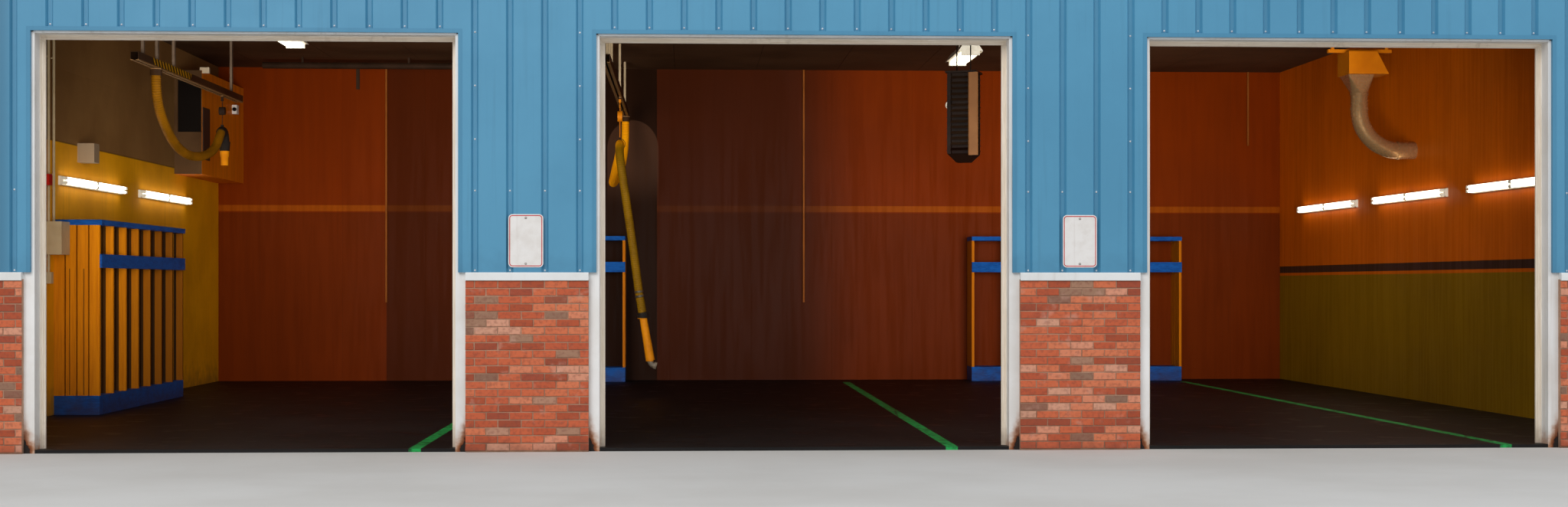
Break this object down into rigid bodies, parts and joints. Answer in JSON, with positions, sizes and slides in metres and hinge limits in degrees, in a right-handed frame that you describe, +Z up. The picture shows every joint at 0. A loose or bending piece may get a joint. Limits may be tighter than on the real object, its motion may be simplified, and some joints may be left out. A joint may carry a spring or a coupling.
{
  "type": "fire station building",
  "caption": "Low gabled fire station with tall open vehicle doorways, a brick base, ribbed blue metal siding and a fitted engine room inside.",
  "frame": {"origin": "centre of the footprint at ground level", "axes": "+Z up, +X along the front wall, the doorways face -Y"},
  "size_m": [16.5916, 13.2872, 5.5135],
  "materials": {
    "concrete": "troweled concrete, worn",
    "brick": "fired clay brick with light mortar",
    "white_metal": "gloss paint, rusted at the feet",
    "lining": "painted boards",
    "painted_board": "painted boards",
    "panelling": "stained panelling",
    "siding": "semi-gloss coated sheet",
    "blue_trim": "semi-gloss coated sheet",
    "roof_sheet": "coated sheet",
    "ceiling_board": "painted boards",
    "door_metal": "satin paint",
    "track_metal": "galvanised",
    "lamp": "lit tubes on white housings",
    "rail_metal": "matt",
    "hose": "coated fabric",
    "heater_metal": "satin paint",
    "fan_metal": "satin paint",
    "duct_metal": "galvanised",
    "rack_board": "painted boards",
    "shelf_board": "painted boards",
    "stop_wood": "weathered paint",
    "nozzle": "moulded",
    "box_metal": "satin paint",
    "closet_board": "painted boards",
    "pipe_paint": "dark paint"
  },
  "bodies": {
    "root": {"floor_slab": "concrete", "front_wainscot": "brick", "left_wainscot": "brick", "right_wainscot": "brick", "back_wainscot": "brick", "ledge_flashing": "white_metal", "front_piers": "lining", "front_header": "lining", "left_wall": "painted_board", "right_wall": "panelling", "back_wall": "panelling", "pier_siding": "siding", "head_siding": "siding", "left_siding": "siding", "right_siding": "siding", "back_siding": "siding", "door_frame_1": "white_metal", "door_frame_2": "white_metal", "door_frame_3": "white_metal", "door_stops": "stop_wood", "door_trims": "blue_trim", "corner_trims": "blue_trim", "front_roof": "roof_sheet", "back_roof": "roof_sheet", "ridge_cap": "roof_sheet", "rake_trims": "blue_trim", "front_gutter": "white_metal", "back_gutter": "white_metal", "ceiling": "ceiling_board", "sectional_door_1": "door_metal", "sectional_door_2": "door_metal", "sectional_door_3": "door_metal", "door_tracks_1": "track_metal", "door_tracks_2": "track_metal", "door_tracks_3": "track_metal", "wall_lights": "lamp", "ceiling_lights": "lamp", "exhaust_rail_1": "rail_metal", "exhaust_rail_2": "rail_metal", "hose_1": "hose", "hose_2": "hose", "hose_nozzle_1": "nozzle", "hose_nozzle_2": "nozzle", "unit_heater": "heater_metal", "exhaust_fan": "fan_metal", "fan_duct": "duct_metal", "left_gear_rack": "rack_board", "back_gear_racks": "rack_board", "rack_shelves": "shelf_board", "wall_boxes": "box_metal", "left_closet": "closet_board", "back_pipes": "pipe_paint"}
  },
  "joints": []
}
